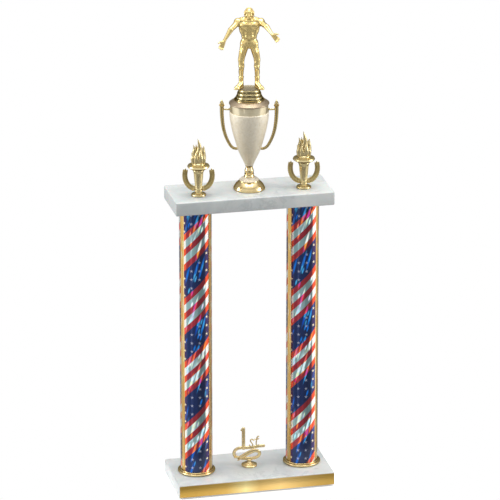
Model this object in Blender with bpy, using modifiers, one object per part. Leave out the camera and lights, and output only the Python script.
"""Two-column trophy: marble slabs, foil columns, a cup with a wrestler figure, two torch trims and a place trim.

Metres, +Z up. The origin is on the floor under the middle of the base slab, and the front is -Y.
"""

from math import pi, radians

import bmesh
import bpy
from mathutils import Matrix, Vector

MM = 0.001
GAP = 0.3 * MM  # between pieces that touch

# Stand
PAD_HEIGHT = 1.2 * MM
PAD_RADIUS = 6.0 * MM
PAD_INSET = 14.0 * MM
SLAB_LENGTH = 220.0 * MM
SLAB_THICKNESS = 19.0 * MM
BASE_DEPTH = 100.0 * MM
TOP_DEPTH = 80.0 * MM
SLAB_EDGE = 1.2 * MM
PLATE_LENGTH = 219.0 * MM
PLATE_HEIGHT = 16.6 * MM
PLATE_THICKNESS = 0.5 * MM
COLUMN_SPACING = 150.0 * MM
COLUMN_RADIUS = 22.2 * MM
COLUMN_WALL = 1.5 * MM
BETWEEN_SLABS = 388.0 * MM
RING_HEIGHT = 5.0 * MM
RING_RADIUS = 26.2 * MM
RING_LIP = 2.0 * MM

# Fasteners, number 10 size
ROD_RADIUS = 2.4 * MM
ROD_HOLE_RADIUS = 3.2 * MM
BORE_RADIUS = ROD_RADIUS + GAP
COUNTERBORE_RADIUS = 9.0 * MM
COUNTERBORE_DEPTH = 8.0 * MM
WASHER_RADIUS = 7.5 * MM
WASHER_THICKNESS = 1.2 * MM
NUT_RADIUS = 5.4 * MM
NUT_HEIGHT = 3.6 * MM
ROD_END = 1.0 * MM  # how far a rod stands out of its nut
TIE_HOLE_DEPTH = 15.0 * MM  # blind, into the top slab
TIE_ROD_REACH = 13.0 * MM
TORCH_SPACING = 146.0 * MM
TORCH_FORWARD = 13.0 * MM  # the torches stand in front of the columns' axes
TORCH_STUD_REACH = 7.0 * MM  # into a torch, above the top slab
TRIM_SCREW_REACH = 4.0 * MM

# Turned pieces, as height above the slab they stand on
CUP_STEM_BOTTOM = 17.9 * MM
CUP_BODY_BOTTOM = 33.6 * MM
CUP_BAND_TOP = 120.4 * MM
CUP_LID_TOP = 127.6 * MM
PLINTH_TOP = 142.4 * MM
CUP_WALL = 1.3 * MM
HANDLE_RADIUS = 2.0 * MM
SEGMENTS = 24  # round a large turned piece
SMALL_SEGMENTS = 16
ROD_SEGMENTS = 12
FACING = radians(-13.0)  # the cup, figure and trims are turned on their studs to face this way

BASE_BOTTOM = PAD_HEIGHT + GAP
BASE_TOP = BASE_BOTTOM + SLAB_THICKNESS
TOP_BOTTOM = BASE_TOP + BETWEEN_SLABS
TOP_TOP = TOP_BOTTOM + SLAB_THICKNESS
SIDES = (("left", -1), ("right", 1))

GOLD = ((0.83, 0.66, 0.32, 1.0), 0.22, 1.0)
CHAMPAGNE = ((0.72, 0.64, 0.48, 1.0), 0.45, 0.9)
MARBLE = ((0.85, 0.86, 0.85, 1.0), 0.35, 0.0)
FOIL = ((0.12, 0.16, 0.36, 1.0), 0.3, 0.8)
STEEL = ((0.6, 0.6, 0.6, 1.0), 0.35, 1.0)
PLATE = ((0.8, 0.6, 0.22, 1.0), 0.3, 1.0)
FELT = ((0.05, 0.15, 0.08, 1.0), 0.95, 0.0)


def clear_scene():
    for obj in list(bpy.data.objects):
        bpy.data.objects.remove(obj, do_unlink=True)


def collection(name, hidden=False):
    made = bpy.data.collections.new(name)
    made.hide_render = hidden
    bpy.context.scene.collection.children.link(made)
    return made


def principled(name, look):
    """A material of the given (colour, roughness, metallic)."""
    material = bpy.data.materials.new(name)
    material.use_nodes = True
    shader = material.node_tree.nodes["Principled BSDF"]
    colour, roughness, metallic = look
    shader.inputs["Base Color"].default_value = colour
    shader.inputs["Roughness"].default_value = roughness
    shader.inputs["Metallic"].default_value = metallic
    return material


def add(name, mesh, look, parent=None, at=(0, 0, 0)):
    """A named part from a mesh, in the trophy's collection."""
    obj = bpy.data.objects.new(name, mesh)
    mesh.materials.clear()
    mesh.materials.append(principled(name, look))
    PARTS.objects.link(obj)
    obj.parent = parent
    obj.location = at
    return obj


def add_cutter(name, mesh, at=(0, 0, 0), parent=None):
    """A helper for Booleans, left out of the object."""
    obj = bpy.data.objects.new(name, mesh)
    CUTTERS.objects.link(obj)
    obj.parent = parent
    obj.location = at
    obj.hide_render = True
    obj.display_type = "WIRE"
    return obj


def axis_empty(name, at):
    """An empty on a turning piece's axis, turned to the rest direction."""
    empty = bpy.data.objects.new(name, None)
    PARTS.objects.link(empty)
    empty.location = at
    empty.rotation_euler = (0, 0, FACING)
    return empty


def smooth(obj, angle=radians(35)):
    obj.data.shade_smooth()
    obj.data.set_sharp_from_angle(angle=angle)


def mesh_from(name, build):
    """A mesh that a function fills through bmesh."""
    mesh = bpy.data.meshes.new(name)
    bm = bmesh.new()
    build(bm)
    bm.to_mesh(mesh)
    bm.free()
    return mesh


def box_mesh(name, size):
    def build(bm):
        bmesh.ops.create_cube(bm, size=1.0, matrix=Matrix.Diagonal((*size, 1.0)))

    return mesh_from(name, build)


def cylinder_mesh(name, radius, height, segments=SEGMENTS):
    """A cylinder standing on its origin."""

    def build(bm):
        bmesh.ops.create_cone(
            bm,
            cap_ends=True,
            segments=segments,
            radius1=radius,
            radius2=radius,
            depth=height,
            matrix=Matrix.Translation((0, 0, height / 2)),
        )

    return mesh_from(name, build)


def screw(obj, segments=SEGMENTS):
    """Turns the object's profile once round its Z axis."""
    turn = obj.modifiers.new("turn", "SCREW")
    turn.steps = segments
    turn.render_steps = segments
    turn.use_merge_vertices = True
    turn.merge_threshold = 0.00001
    turn.use_smooth_shade = True


def profile_mesh(name, points, closed):
    """Edges through (radius, height) points in millimetres."""
    mesh = bpy.data.meshes.new(name)
    vertices = [(radius * MM, 0, height * MM) for radius, height in points]
    edges = [(i, i + 1) for i in range(len(points) - 1)]
    if closed:
        edges.append((len(points) - 1, 0))
    mesh.from_pydata(vertices, edges, [])
    return mesh


def turned_ring(name, points, look, parent=None, at=(0, 0, 0), segments=SEGMENTS):
    """A turned piece with a hole: the points go down the outside and up the inside."""
    obj = add(name, profile_mesh(name, points, closed=True), look, parent, at)
    screw(obj, segments)
    return obj


def bevel(obj, width, segments=2):
    edge = obj.modifiers.new("edge", "BEVEL")
    edge.width = width
    edge.segments = segments
    edge.limit_method = "ANGLE"


def boolean(obj, other, operation):
    """Cuts with the exact solver. Unions of slender bars leave open edges there, so they use manifold."""
    step = obj.modifiers.new(operation.lower(), "BOOLEAN")
    step.operation = operation
    step.object = other
    step.solver = "MANIFOLD" if operation == "UNION" else "EXACT"


def baked(obj):
    """The object's evaluated mesh, welded."""
    graph = bpy.context.evaluated_depsgraph_get()
    mesh = bpy.data.meshes.new_from_object(obj.evaluated_get(graph))
    bm = bmesh.new()
    bm.from_mesh(mesh)
    bmesh.ops.remove_doubles(bm, verts=bm.verts, dist=0.00001)
    bm.to_mesh(mesh)
    bm.free()
    return mesh


def tube_mesh(name, points, radii, resolution=2):
    """A round bar through points in millimetres, with a radius in millimetres at each."""
    curve = bpy.data.curves.new(name, "CURVE")
    curve.dimensions = "3D"
    curve.bevel_depth = MM
    curve.bevel_resolution = resolution
    curve.use_fill_caps = True
    spline = curve.splines.new("POLY")
    spline.points.add(len(points) - 1)
    for knot, place, radius in zip(spline.points, points, radii):
        knot.co = (*(Vector(place) * MM), 1.0)
        knot.radius = radius
    guide = bpy.data.objects.new(name + "_guide", curve)
    CUTTERS.objects.link(guide)
    bpy.context.view_layer.update()
    mesh = baked(guide)
    bpy.data.objects.remove(guide, do_unlink=True)
    return mesh


def smooth_path(points, steps):
    """Points of a Catmull-Rom curve through the given points."""
    knots = [Vector(p) for p in points]
    knots = [2 * knots[0] - knots[1], *knots, 2 * knots[-1] - knots[-2]]
    path = []
    for a, b, c, d in zip(knots, knots[1:], knots[2:], knots[3:]):
        for step in range(steps):
            t = step / steps
            path.append(
                0.5
                * (
                    2 * b
                    + (c - a) * t
                    + (2 * a - 5 * b + 4 * c - d) * t**2
                    + (3 * b - a - 3 * c + d) * t**3
                )
            )
    path.append(knots[-2])
    return path


def slab(name, depth, bottom, holes):
    """A marble slab. Each hole is (x, y, depth, counterbored), bored and widened from below."""
    centre = bottom + SLAB_THICKNESS / 2
    mesh = box_mesh(name, (SLAB_LENGTH, depth, SLAB_THICKNESS))
    obj = add(name, mesh, MARBLE, at=(0, 0, centre))
    bevel(obj, SLAB_EDGE)
    for number, (x, y, depth, counterbored) in enumerate(holes):
        hole = cylinder_mesh(f"{name}_hole_{number}", ROD_HOLE_RADIUS, 2 * depth)
        place = (x, y, bottom - depth)
        boolean(obj, add_cutter(hole.name, hole, place), "DIFFERENCE")
        if counterbored:
            wide = cylinder_mesh(f"{name}_counterbore_{number}", COUNTERBORE_RADIUS, 2 * COUNTERBORE_DEPTH)
            place = (x, y, bottom - COUNTERBORE_DEPTH)
            boolean(obj, add_cutter(wide.name, wide, place), "DIFFERENCE")


def slabs():
    through = 1.5 * SLAB_THICKNESS
    middle = (0, 0, through, True)
    ties = [(side * COLUMN_SPACING / 2, 0, through, True) for _, side in SIDES]
    slab("base_slab", BASE_DEPTH, BASE_BOTTOM, [*ties, middle])
    ties = [(side * COLUMN_SPACING / 2, 0, TIE_HOLE_DEPTH, False) for _, side in SIDES]
    torches = [(side * TORCH_SPACING / 2, -TORCH_FORWARD, through, True) for _, side in SIDES]
    slab("top_slab", TOP_DEPTH, TOP_BOTTOM, [*ties, *torches, middle])


def foot_pads():
    for row, depth_side in (("front", -1), ("back", 1)):
        for name, side in SIDES:
            mesh = cylinder_mesh("pad", PAD_RADIUS, PAD_HEIGHT, SMALL_SEGMENTS)
            x = side * (SLAB_LENGTH / 2 - PAD_INSET)
            y = depth_side * (BASE_DEPTH / 2 - PAD_INSET)
            smooth(add(f"foot_pad_{row}_{name}", mesh, FELT, at=(x, y, 0)))


def engraving_plate():
    mesh = box_mesh("engraving_plate", (PLATE_LENGTH, PLATE_THICKNESS, PLATE_HEIGHT))
    y = -BASE_DEPTH / 2 - GAP - PLATE_THICKNESS / 2
    add("engraving_plate", mesh, PLATE, at=(0, y, BASE_BOTTOM + SLAB_THICKNESS / 2))


def column_ring(name, x, flange_bottom, upward):
    """A stepped collar: a flange against the slab and a bead that holds the tube's end in a groove."""
    outer, tube = RING_RADIUS / MM, COLUMN_RADIUS / MM
    height, lip, gap = RING_HEIGHT / MM, RING_LIP / MM, GAP / MM
    inner = tube - COLUMN_WALL / MM - gap
    points = [
        (inner, height + lip),
        (inner, lip),
        (tube + gap, lip),
        (tube + gap, height),
        (outer - 2.2, height),
        (outer - 0.6, height - 1.4),
        (outer - 1.2, height - 2.2),
        (outer - 0.6, height - 2.8),
        (outer, height - 3.6),
        (outer, 0.6),
        (outer - 0.6, 0.0),
        (inner - 3.0, 0.0),
        (inner - 3.0, height + lip),
    ]
    obj = turned_ring(name, points, GOLD, at=(x, 0, flange_bottom))
    if not upward:
        obj.rotation_euler = (pi, 0, 0)


def column(name, x):
    inner = (COLUMN_RADIUS - COLUMN_WALL) / MM
    outer = COLUMN_RADIUS / MM
    bottom = (RING_LIP + 2 * GAP) / MM
    top = (BETWEEN_SLABS - RING_LIP - 2 * GAP) / MM
    points = [(outer, top), (outer, bottom), (inner, bottom), (inner, top)]
    turned_ring(f"{name}_column", points, FOIL, at=(x, 0, BASE_TOP))
    column_ring(f"{name}_column_lower_ring", x, BASE_TOP + GAP, upward=True)
    column_ring(f"{name}_column_upper_ring", x, TOP_BOTTOM - GAP, upward=False)


def nut_and_washer(prefix, x, y, ceiling):
    """A washer against the counterbore's ceiling, and a hexagon nut under it."""
    bore = (ROD_RADIUS + GAP) / MM
    thick, high = WASHER_THICKNESS / MM, NUT_HEIGHT / MM
    rim, flat = WASHER_RADIUS / MM, NUT_RADIUS / MM
    washer_bottom = ceiling - GAP - WASHER_THICKNESS
    nut_bottom = washer_bottom - GAP - NUT_HEIGHT
    washer = [(rim, thick), (rim, 0), (bore, 0), (bore, thick)]
    turned_ring(f"{prefix}_washer", washer, STEEL, at=(x, y, washer_bottom), segments=SMALL_SEGMENTS)
    mesh = cylinder_mesh(f"{prefix}_nut", flat * MM, high * MM, segments=6)
    nut = add(f"{prefix}_nut", mesh, STEEL, at=(x, y, nut_bottom))
    hole = cylinder_mesh(f"{prefix}_nut_bore", bore * MM, 3 * high * MM, ROD_SEGMENTS)
    place = (x, y, nut_bottom - NUT_HEIGHT)
    boolean(nut, add_cutter(hole.name, hole, place), "DIFFERENCE")
    return nut_bottom


def rod(name, x, y, bottom, top, parent=None):
    mesh = cylinder_mesh(name, ROD_RADIUS, top - bottom, ROD_SEGMENTS)
    obj = add(name, mesh, STEEL, at=(x, y, bottom), parent=parent)
    bevel(obj, 0.4 * MM, segments=1)
    smooth(obj)


def fasteners():
    base_ceiling = BASE_BOTTOM + COUNTERBORE_DEPTH
    top_ceiling = TOP_BOTTOM + COUNTERBORE_DEPTH
    for name, side in SIDES:
        x = side * COLUMN_SPACING / 2
        nut_bottom = nut_and_washer(f"{name}_tie", x, 0, base_ceiling)
        rod(f"{name}_tie_rod", x, 0, nut_bottom - ROD_END, TOP_BOTTOM + TIE_ROD_REACH)
        x = side * TORCH_SPACING / 2
        nut_bottom = nut_and_washer(f"{name}_torch", x, -TORCH_FORWARD, top_ceiling)
        rod(f"{name}_torch_stud", x, -TORCH_FORWARD, nut_bottom - ROD_END, TOP_TOP + TORCH_STUD_REACH)
    nut_bottom = nut_and_washer("trim", 0, 0, base_ceiling)
    rod("trim_stud", 0, 0, nut_bottom - ROD_END, BASE_TOP + TRIM_SCREW_REACH)
    nut_bottom = nut_and_washer("cup", 0, 0, top_ceiling)
    rod("cup_rod", 0, 0, nut_bottom - ROD_END, TOP_TOP + PLINTH_TOP - 4 * MM)


def cup_foot(parent):
    """A bell-shaped foot, open underneath, with a bead, a ledge and a cone to the stem."""
    bore = BORE_RADIUS / MM
    top = CUP_STEM_BOTTOM / MM - 0.3
    outside = [
        (7.2, top),
        (9.2, 16.6),
        (11.4, 15.2),
        (13.0, 13.6),
        (13.6, 13.0),
        (13.9, 12.0),
        (16.2, 9.9),
        (18.6, 7.4),
        (20.2, 5.2),
        (21.0, 3.4),
        (21.6, 2.6),
        (21.6, 0.9),
        (21.0, 0.3),
    ]
    inside = [(19.4, 0.3), (19.0, 3.0), (15.0, 8.4), (11.0, 12.0), (bore, 13.4), (bore, top)]
    turned_ring("cup_foot", outside + inside, CHAMPAGNE, parent)


def cup_stem(parent):
    bore = BORE_RADIUS / MM
    bottom, top = CUP_STEM_BOTTOM / MM, CUP_BODY_BOTTOM / MM - 0.3
    outside = [
        (5.0, top),
        (4.4, top - 1.2),
        (4.9, top - 3.2),
        (6.0, top - 6.6),
        (6.2, top - 8.6),
        (5.7, top - 10.6),
        (6.8, top - 11.6),
        (7.0, bottom + 1.6),
        (7.3, bottom),
    ]
    turned_ring("cup_stem", outside + [(bore, bottom), (bore, top)], GOLD, parent)


def cup_body(parent):
    """A hollow tulip with a recessed band under the lid, open at the top."""
    bore = BORE_RADIUS / MM
    wall, bottom, top = CUP_WALL / MM, CUP_BODY_BOTTOM / MM, CUP_BAND_TOP / MM
    tulip = [
        (26.7, 109.2),
        (26.2, 101.0),
        (25.2, 94.0),
        (23.2, 83.7),
        (20.9, 74.5),
        (18.7, 67.0),
        (15.8, 57.0),
        (12.4, 49.0),
        (9.2, 42.2),
        (6.8, 36.6),
    ]
    outside = [(26.0, top), (26.0, 110.2), *tulip, (5.6, bottom)]
    inside = [(bore, bottom), (bore, 37.4)]
    inside += [(max(radius - wall, bore + 0.6), height + 0.6) for radius, height in reversed(tulip[:-1])]
    inside += [(26.0 - wall, 112.0), (26.0 - wall, top)]
    turned_ring("cup_body", outside + inside, CHAMPAGNE, parent)


def cup_lid(parent):
    """A shallow cone with a turned-down rim."""
    bore = BORE_RADIUS / MM
    bottom, top = CUP_BAND_TOP / MM + 0.3, CUP_LID_TOP / MM
    points = [
        (20.4, top),
        (26.8, 122.8),
        (27.3, 122.2),
        (27.3, 121.2),
        (26.8, bottom),
        (24.6, bottom),
        (24.0, 122.4),
        (18.5, top - 1.6),
        (bore, top - 1.6),
        (bore, top),
    ]
    turned_ring("cup_lid", points, CHAMPAGNE, parent)


def cup_handle(name, side, parent):
    """A bowed bar from the cup's band round to its lower wall, with a strut and a bud on top."""
    bow = [
        (36.8, 121.0),
        (36.8, 112.0),
        (36.5, 104.0),
        (35.6, 94.3),
        (34.0, 83.6),
        (30.5, 72.7),
        (25.8, 62.4),
        (21.5, 57.6),
        (18.3, 57.2),
    ]
    path = smooth_path([(side * x, 0, z) for x, z in bow], 2)
    count = len(path) - 1
    radii = [HANDLE_RADIUS / MM * (1.15 - 0.4 * i / count) for i in range(count + 1)]
    handle = add(name, tube_mesh(name, path, radii), GOLD, parent)
    strut_path = [(side * x, 0, 112.6) for x in (27.4, 31.5, 36.0)]
    strut = tube_mesh(name + "_strut", strut_path, [1.0, 1.0, 1.0])
    boolean(handle, add_cutter(name + "_strut", strut, parent=parent), "UNION")
    bud_path = [(side * 36.8, 0, z) for z in (115.4, 117.2, 118.6, 119.6, 121.6, 124.4, 126.0)]
    bud = tube_mesh(name + "_bud", bud_path, [2.2, 3.7, 3.0, 2.3, 3.0, 1.4, 0.4])
    boolean(handle, add_cutter(name + "_bud", bud, parent=parent), "UNION")
    smooth(handle, radians(50))


def figure_plinth(parent):
    """A round riser of three ribs, closed on top."""
    bore = BORE_RADIUS / MM
    bottom, top = (CUP_LID_TOP + GAP) / MM, PLINTH_TOP / MM
    outside = [(0.0, top)]
    steps = 3
    rise = (top - bottom) / steps
    for step in range(steps):
        radius = 14.4 + 2.2 * step
        high = top - step * rise
        outside += [(radius, high), (radius + 0.9, high - 0.8), (radius + 0.9, high - rise + 1.6)]
        outside += [(radius + 0.2, high - rise + 0.8)]
    outside += [(19.6, bottom + 0.6), (19.6, bottom), (bore, bottom), (bore, top - 3.6), (0.0, top - 3.6)]
    obj = add("figure_plinth", profile_mesh("figure_plinth", outside, closed=False), GOLD, parent)
    screw(obj)


def limb(bm, start, end, start_radius, end_radius):
    """A tapered bar with round ends, in millimetres."""
    a, b = Vector(start) * MM, Vector(end) * MM
    turn = (b - a).to_track_quat("Z", "Y").to_matrix().to_4x4()
    bmesh.ops.create_cone(
        bm,
        cap_ends=True,
        segments=16,
        radius1=start_radius * MM,
        radius2=end_radius * MM,
        depth=(b - a).length,
        matrix=Matrix.Translation((a + b) / 2) @ turn,
    )
    for place, radius in ((a, start_radius), (b, end_radius)):
        blob(bm, place / MM, (radius, radius, radius))


def blob(bm, centre, radii):
    """An ellipsoid, in millimetres."""
    matrix = Matrix.Translation(Vector(centre) * MM) @ Matrix.Diagonal((*(Vector(radii) * MM), 1.0))
    bmesh.ops.create_uvsphere(bm, u_segments=20, v_segments=12, radius=1.0, matrix=matrix)


def figure_legs(bm):
    for side in (-1, 1):
        hip = (side * 6.2, 0.5, 59.0)
        knee = (side * 10.6, -3.0, 29.0)
        ankle = (side * 10.8, 1.5, 10.5)
        calf = (side * 10.9, 1.0, 21.5)
        heel = (side * 9.8, 3.2, 3.2)
        toe = (side * 17.6, -8.0, 2.4)
        limb(bm, hip, knee, 6.2, 3.7)
        limb(bm, knee, calf, 3.7, 3.9)
        limb(bm, calf, ankle, 3.9, 2.5)
        limb(bm, ankle, heel, 2.6, 2.8)
        limb(bm, heel, toe, 2.8, 2.0)


def figure_arms(bm):
    arms = (
        ((-15.0, 0.5, 91.0), (-24.0, -8.0, 83.5), (-33.0, -14.5, 69.5), (-39.0, -18.0, 59.0)),
        ((15.4, 0.5, 91.0), (23.0, -12.0, 88.5), (30.0, -22.0, 80.5), (38.0, -26.5, 74.0)),
    )
    for shoulder, elbow, wrist, fingers in arms:
        limb(bm, shoulder, elbow, 5.0, 3.1)
        limb(bm, elbow, wrist, 3.2, 2.0)
        limb(bm, wrist, fingers, 2.2, 1.7)


def figure_body(bm):
    blob(bm, (0, 0, 84.0), (13.4, 7.8, 11.0))
    blob(bm, (0, 0.5, 74.0), (10.8, 6.6, 9.0))
    blob(bm, (0, 0.5, 64.0), (11.8, 7.2, 8.0))
    blob(bm, (0, 0.5, 58.0), (9.0, 6.0, 4.0))
    limb(bm, (0, 0.5, 90.0), (0, -1.5, 99.0), 5.0, 4.2)
    blob(bm, (0, -2.5, 103.8), (6.0, 6.6, 7.6))


def figure(parent):
    """A plain standing figure with its arms spread: simple forms, grown together."""

    def build(bm):
        figure_legs(bm)
        figure_arms(bm)
        figure_body(bm)

    place = (0, 0, PLINTH_TOP + GAP)
    obj = add("figure", mesh_from("figure", build), GOLD, parent, place)
    grown = obj.modifiers.new("grown", "REMESH")
    grown.mode = "VOXEL"
    grown.voxel_size = 0.9 * MM
    fewer = obj.modifiers.new("fewer", "DECIMATE")
    fewer.ratio = 0.055
    obj.data.shade_smooth()


def cup_and_figure():
    cup = axis_empty("cup_axis", (0, 0, TOP_TOP))
    cup_foot(cup)
    cup_stem(cup)
    cup_body(cup)
    cup_lid(cup)
    for name, side in SIDES:
        cup_handle(f"cup_handle_{name}", side, cup)
    upper = axis_empty("figure_axis", (0, 0, TOP_TOP))
    figure_plinth(upper)
    figure(upper)


def flame_tongue(bm, foot, tip, radius):
    """One flame: a cone that leans to its tip."""
    a, b = Vector(foot) * MM, Vector(tip) * MM
    turn = (b - a).to_track_quat("Z", "Y").to_matrix().to_4x4()
    bmesh.ops.create_cone(
        bm,
        cap_ends=True,
        segments=8,
        radius1=radius * MM,
        radius2=0.5 * MM,
        depth=(b - a).length,
        matrix=Matrix.Translation((a + b) / 2) @ turn,
    )


def torch_profile(bore):
    """Down the outside from the flame's bed to the foot, then up the rod's bore."""
    reach = TORCH_STUD_REACH / MM + 1.0
    return [
        (0.0, 47.6),
        (9.2, 47.6),
        (9.4, 44.4),
        (13.6, 42.8),
        (15.1, 41.4),
        (13.8, 39.8),
        (9.0, 37.0),
        (7.2, 35.6),
        (6.9, 34.0),
        (5.6, 22.0),
        (4.4, 9.4),
        (4.1, 8.2),
        (5.4, 7.2),
        (4.3, 6.0),
        (4.6, 4.4),
        (9.2, 3.0),
        (10.1, 2.0),
        (10.1, 0.9),
        (9.6, 0.3),
        (bore, 0.3),
        (bore, reach),
        (0.0, reach),
    ]


def torch(name, x):
    """A torch: round foot, tapered handle, dish, flames, and a wreath in two arms."""
    axis = axis_empty(f"{name}_torch_axis", (x, -TORCH_FORWARD, TOP_TOP))
    profile = profile_mesh(f"{name}_torch", torch_profile(BORE_RADIUS / MM), closed=False)
    obj = add(f"{name}_torch", profile, GOLD, axis)
    screw(obj, SMALL_SEGMENTS)
    flames = (
        ((0.0, 0.0, 45.0), (0.0, 0.0, 80.0), 6.0),
        ((-4.0, 1.0, 45.0), (-6.6, 0.0, 71.0), 4.6),
        ((-5.6, -2.0, 45.0), (-9.2, -2.0, 60.5), 3.6),
        ((4.6, 0.5, 45.0), (7.5, 0.0, 68.0), 4.4),
        ((1.5, -4.4, 45.0), (2.0, -4.6, 62.0), 3.8),
        ((0.5, 4.4, 45.0), (-1.5, 4.6, 64.0), 4.0),
    )
    for number, (foot, tip, radius) in enumerate(flames):
        mesh = mesh_from("flame", lambda bm: flame_tongue(bm, foot, tip, radius))
        tongue = add_cutter(f"{name}_flame_{number}", mesh, parent=axis)
        boolean(obj, tongue, "UNION")
    for arm_name, side in SIDES:
        arm = [(3.6, 9.6), (9.0, 11.4), (14.2, 16.0), (17.8, 22.6), (19.2, 29.4), (18.4, 37.0)]
        path = smooth_path([(side * r, 0, h) for r, h in arm], 2)
        radii = [2.6, *[3.0] * (len(path) - 3), 2.2, 0.9]
        wreath = add_cutter(f"{name}_wreath_{arm_name}", tube_mesh("wreath", path, radii), parent=axis)
        wreath.scale = (1, 0.7, 1)
        boolean(obj, wreath, "UNION")
    smooth(obj, radians(45))


def place_foot_profile(bore):
    reach = TRIM_SCREW_REACH / MM + 0.6
    return [
        (0.0, 9.0),
        (3.4, 9.0),
        (3.0, 6.6),
        (3.6, 4.6),
        (6.6, 2.9),
        (10.4, 2.4),
        (11.2, 1.5),
        (11.2, 0.3),
        (bore, 0.3),
        (bore, reach),
        (0.0, reach),
    ]


def place_strokes():
    """The ribbon and the figures 1, s and t, as (points, radii) in the trim's plane."""
    ribbon = [
        (20.6, 29.6),
        (8.0, 28.2),
        (-6.0, 26.6),
        (-14.0, 26.4),
        (-20.0, 23.4),
        (-22.0, 17.8),
        (-18.6, 12.6),
        (-11.0, 10.6),
        (-2.0, 10.4),
        (7.0, 11.6),
        (13.4, 14.6),
        (14.6, 19.4),
        (10.6, 23.0),
        (3.4, 22.2),
        (-5.8, 18.0),
        (-14.0, 12.6),
    ]
    one = [(-8.0, 26.0), (-8.0, 56.4)]
    flag = [(-8.0, 56.0), (-11.0, 52.6)]
    letter_s = [(5.6, 37.4), (3.4, 39.0), (1.2, 37.0), (3.0, 34.4), (5.0, 31.6), (3.4, 29.2), (0.6, 30.6)]
    letter_t = [(11.6, 43.4), (10.2, 38.0), (9.6, 32.4), (11.6, 30.0)]
    bar = [(7.9, 39.6), (12.8, 40.4)]
    tails = [(-12.0, 13.6), (-21.4, 12.6)], [(-10.0, 13.2), (-16.4, 8.2)]
    strokes = [(ribbon, 1.9, 2), (one, 1.9, 1), (flag, 1.3, 1), (letter_s, 0.9, 2), (letter_t, 0.9, 2)]
    strokes += [(bar, 0.9, 1), (tails[0], 1.3, 1), (tails[1], 1.3, 1)]
    return strokes


def place_trim():
    """A round foot with a ribbon swirl that carries a 1 and the letters st."""
    axis = axis_empty("place_trim_axis", (0, 0, BASE_TOP))
    foot = profile_mesh("place_trim", place_foot_profile(BORE_RADIUS / MM), closed=False)
    obj = add("place_trim", foot, GOLD, axis)
    screw(obj, SMALL_SEGMENTS)
    for number, (points, radius, steps) in enumerate(place_strokes()):
        path = smooth_path([(x, 0, z) for x, z in points], steps)
        mesh = tube_mesh(f"stroke_{number}", path, [radius] * len(path), resolution=1)
        stroke = add_cutter(f"place_stroke_{number}", mesh, parent=axis)
        boolean(obj, stroke, "UNION")
    smooth(obj, radians(45))


def stand():
    slabs()
    foot_pads()
    engraving_plate()
    for name, side in SIDES:
        column(name, side * COLUMN_SPACING / 2)
    fasteners()


clear_scene()
PARTS = collection("trophy")
CUTTERS = collection("cutters", hidden=True)
stand()
cup_and_figure()
for side_name, side_sign in SIDES:
    torch(side_name, side_sign * TORCH_SPACING / 2)
place_trim()
